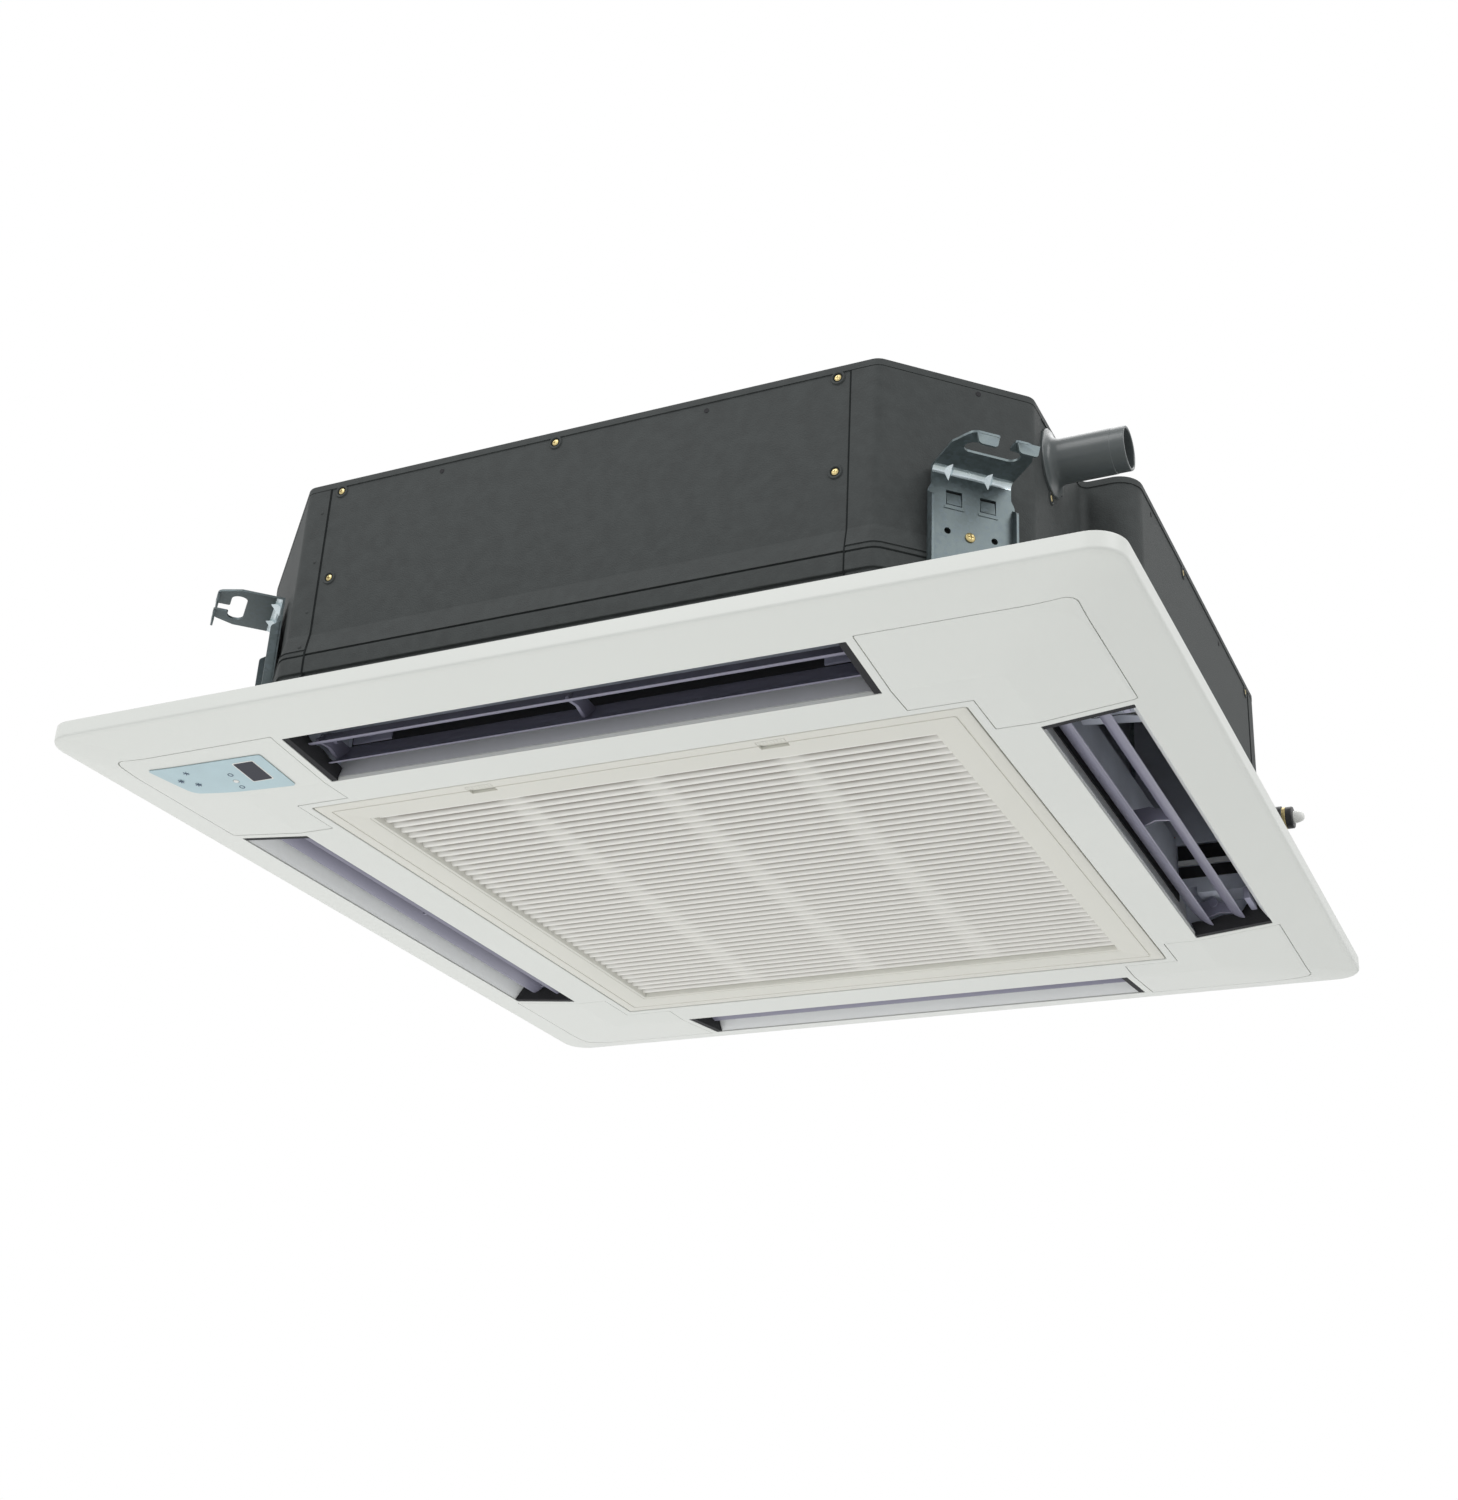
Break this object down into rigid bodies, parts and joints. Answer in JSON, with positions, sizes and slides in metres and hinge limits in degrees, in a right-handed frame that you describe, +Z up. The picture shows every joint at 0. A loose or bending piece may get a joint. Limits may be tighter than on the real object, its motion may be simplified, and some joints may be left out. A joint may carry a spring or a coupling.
{
  "type": "ceiling cassette fan coil unit",
  "caption": "Recessed ceiling cassette for water coils: octagonal steel casing, square panel with swinging air outlets on every side and a hinged slatted intake grille.",
  "frame": {"origin": "centre of the ceiling plane, which the top of the panel's rim lies in, under the casing's centre", "axes": "+Z up into the ceiling; -Y towards the side that the picture shows nearest, with the display's corner at -X; +X towards the side with the drain stub and the water connections"},
  "size_m": [0.95, 0.95, 0.264],
  "materials": {
    "white_panel": "satin",
    "white_grille": "satin",
    "white_small": "satin",
    "label": "satin",
    "charcoal_steel": "matt",
    "zinc_steel": "galvanised",
    "grey_foam": "matt",
    "black_foam": "matt",
    "vane": "satin",
    "guide": "satin",
    "black_plastic": "satin",
    "grey_plastic": "satin",
    "hose": "matt",
    "copper": "satin",
    "brass": "satin",
    "aluminium": "satin",
    "board": "satin",
    "filter": "net"
  },
  "bodies": {
    "unit": {"casing_wall": "charcoal_steel", "top_plate": "charcoal_steel", "casing_liner": "grey_foam", "drain_pan": "grey_foam", "coil_fins": "aluminium", "coil_plate_right": "copper", "coil_plate_far": "copper", "supply_header": "copper", "return_header": "copper", "supply_fitting": "brass", "return_fitting": "brass", "drain_pump": "black_plastic", "float_switch": "white_small", "drain_hose": "hose", "drain_stub": "grey_plastic", "fan_motor": "zinc_steel", "bell_mouth": "black_plastic", "electric_box": "zinc_steel", "electric_box_cover": "zinc_steel", "control_board": "board", "panel_frame": "white_panel", "corner_cover_near_left": "white_panel", "corner_cover_near_right": "white_panel", "corner_cover_far_left": "white_panel", "corner_cover_far_right": "white_panel", "display_label": "label", "display_board": "board", "outlet_guide_near": "guide", "swing_motor_near": "zinc_steel", "end_seal_near_a": "black_foam", "end_seal_near_b": "black_foam", "outlet_guide_right": "guide", "swing_motor_right": "zinc_steel", "end_seal_right_a": "black_foam", "end_seal_right_b": "black_foam", "outlet_guide_far": "guide", "swing_motor_far": "zinc_steel", "end_seal_far_a": "black_foam", "end_seal_far_b": "black_foam", "outlet_guide_left": "guide", "swing_motor_left": "zinc_steel", "end_seal_left_a": "black_foam", "end_seal_left_b": "black_foam", "hanger_near_right": "zinc_steel", "hanger_near_left": "zinc_steel", "hanger_far_right": "zinc_steel", "hanger_far_left": "zinc_steel"},
    "fan": {"fan_impeller": "black_plastic", "fan_nut": "zinc_steel"},
    "pump_rotor": {"pump_impeller": "white_small"},
    "float": {"float": "white_small"},
    "button": {"manual_button": "white_small"},
    "grille": {"intake_grille": "white_grille", "air_filter": "filter"},
    "latch_left": {"grille_latch_left": "white_grille"},
    "latch_right": {"grille_latch_right": "white_grille"},
    "louver_near": {"louver_near": "vane"},
    "louver_right": {"louver_right": "vane"},
    "louver_far": {"louver_far": "vane"},
    "louver_left": {"louver_left": "vane"}
  },
  "joints": [
    {"name": "louver_near_swing", "type": "hinge", "parent": "unit", "child": "louver_near", "pos_m": [0, -0.372, -0.004], "axis": [-1, 0, 0], "range_deg": [-15, 20]},
    {"name": "louver_right_swing", "type": "hinge", "parent": "unit", "child": "louver_right", "pos_m": [0.372, 0, -0.004], "axis": [0, -1, 0], "range_deg": [-15, 20]},
    {"name": "louver_far_swing", "type": "hinge", "parent": "unit", "child": "louver_far", "pos_m": [0, 0.372, -0.004], "axis": [1, 0, 0], "range_deg": [-15, 20]},
    {"name": "louver_left_swing", "type": "hinge", "parent": "unit", "child": "louver_left", "pos_m": [-0.372, 0, -0.004], "axis": [0, 1, 0], "range_deg": [-15, 20]},
    {"name": "fan_spin", "type": "hinge", "parent": "unit", "child": "fan", "pos_m": [0, 0, 0.15], "axis": [0, 0, 1], "continuous": true},
    {"name": "pump_spin", "type": "hinge", "parent": "unit", "child": "pump_rotor", "pos_m": [0.30123, -0.338, 0.042], "axis": [0, 0, 1], "continuous": true},
    {"name": "float_rise", "type": "slide", "parent": "unit", "child": "float", "axis": [0, 0, 1], "range_m": [0, 0.012]},
    {"name": "button_press", "type": "slide", "parent": "unit", "child": "button", "axis": [0, 0, 1], "range_m": [0, 0.001], "stiffness_N_per_m": 400},
    {"name": "grille_open", "type": "hinge", "parent": "unit", "child": "grille", "pos_m": [0, 0.3025, -0.0292], "axis": [1, 0, 0], "range_deg": [0, 90]},
    {"name": "latch_left_slide", "type": "slide", "parent": "grille", "child": "latch_left", "axis": [0, 1, 0], "range_m": [0, 0.008]},
    {"name": "latch_right_slide", "type": "slide", "parent": "grille", "child": "latch_right", "axis": [0, 1, 0], "range_m": [0, 0.008]}
  ],
  "couplings": [
    {"joint": "louver_right_swing", "follows": "louver_near_swing", "ratio": 1},
    {"joint": "louver_far_swing", "follows": "louver_near_swing", "ratio": 1},
    {"joint": "louver_left_swing", "follows": "louver_near_swing", "ratio": 1}
  ]
}
